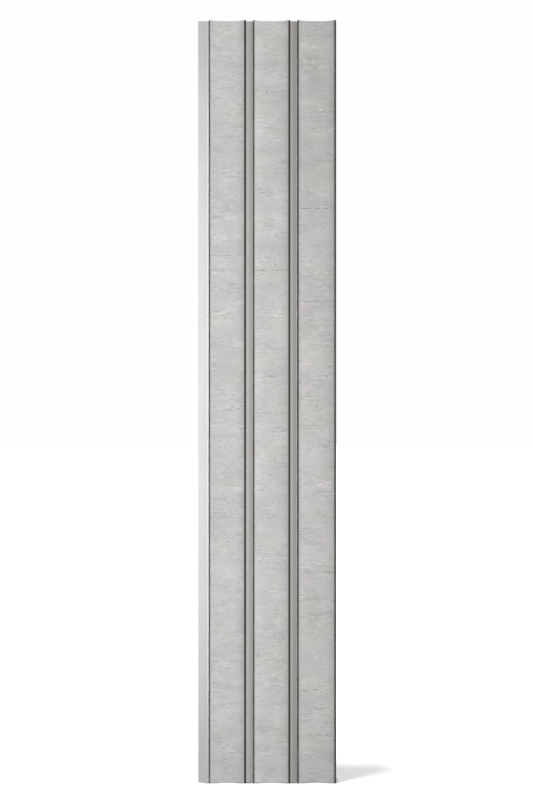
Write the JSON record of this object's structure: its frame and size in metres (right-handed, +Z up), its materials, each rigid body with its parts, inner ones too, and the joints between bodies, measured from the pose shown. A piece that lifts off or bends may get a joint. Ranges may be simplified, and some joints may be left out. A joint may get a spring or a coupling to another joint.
{
  "type": "fluted concrete barrier panel",
  "caption": "Tall narrow barrier panel of dished precast concrete staves gripped between aluminium rails with black rubber seals, on steel back channels.",
  "frame": {"origin": "on the floor, at the middle of the footprint", "axes": "+Z up along the staves, the dished front faces -Y, the joint flange is on -X"},
  "size_m": [0.4892, 0.1056, 2.7],
  "materials": {
    "concrete": "fine grey precast concrete, fair faced, with faint level streaks and small pores",
    "aluminium": "satin mill finish, drawn lengthways",
    "seal_rubber": "matt black EPDM",
    "wire_steel": "plain drawn steel",
    "galvanised_steel": "hot-dip galvanised, dull spangle",
    "zinc_plate": "bright zinc plate"
  },
  "bodies": {
    "root": {"stave_left": "concrete", "stave_middle": "concrete", "stave_right": "concrete", "stave_left_wire_left": "wire_steel", "stave_left_wire_right": "wire_steel", "stave_middle_wire_left": "wire_steel", "stave_middle_wire_right": "wire_steel", "stave_right_wire_left": "wire_steel", "stave_right_wire_right": "wire_steel", "joint_rail_left": "aluminium", "groove_rail_left": "aluminium", "groove_rail_right": "aluminium", "edge_rail_right": "aluminium", "stave_left_thin_seal": "seal_rubber", "stave_left_wide_seal": "seal_rubber", "stave_middle_thin_seal": "seal_rubber", "stave_middle_wide_seal": "seal_rubber", "stave_right_thin_seal": "seal_rubber", "stave_right_edge_seal": "seal_rubber", "cross_channel_lower": "galvanised_steel", "socket_left_lower": "zinc_plate", "stave_bolt_left_lower": "zinc_plate", "socket_middle_lower": "zinc_plate", "stave_bolt_middle_lower": "zinc_plate", "socket_right_lower": "zinc_plate", "stave_bolt_right_lower": "zinc_plate", "joint_rail_left_bolt_lower": "zinc_plate", "groove_rail_left_bolt_lower": "zinc_plate", "groove_rail_right_bolt_lower": "zinc_plate", "edge_rail_right_bolt_lower": "zinc_plate", "cross_channel_middle": "galvanised_steel", "socket_left_middle": "zinc_plate", "stave_bolt_left_middle": "zinc_plate", "socket_middle_middle": "zinc_plate", "stave_bolt_middle_middle": "zinc_plate", "socket_right_middle": "zinc_plate", "stave_bolt_right_middle": "zinc_plate", "joint_rail_left_bolt_middle": "zinc_plate", "groove_rail_left_bolt_middle": "zinc_plate", "groove_rail_right_bolt_middle": "zinc_plate", "edge_rail_right_bolt_middle": "zinc_plate", "cross_channel_upper": "galvanised_steel", "socket_left_upper": "zinc_plate", "stave_bolt_left_upper": "zinc_plate", "socket_middle_upper": "zinc_plate", "stave_bolt_middle_upper": "zinc_plate", "socket_right_upper": "zinc_plate", "stave_bolt_right_upper": "zinc_plate", "joint_rail_left_bolt_upper": "zinc_plate", "groove_rail_left_bolt_upper": "zinc_plate", "groove_rail_right_bolt_upper": "zinc_plate", "edge_rail_right_bolt_upper": "zinc_plate"}
  },
  "joints": []
}
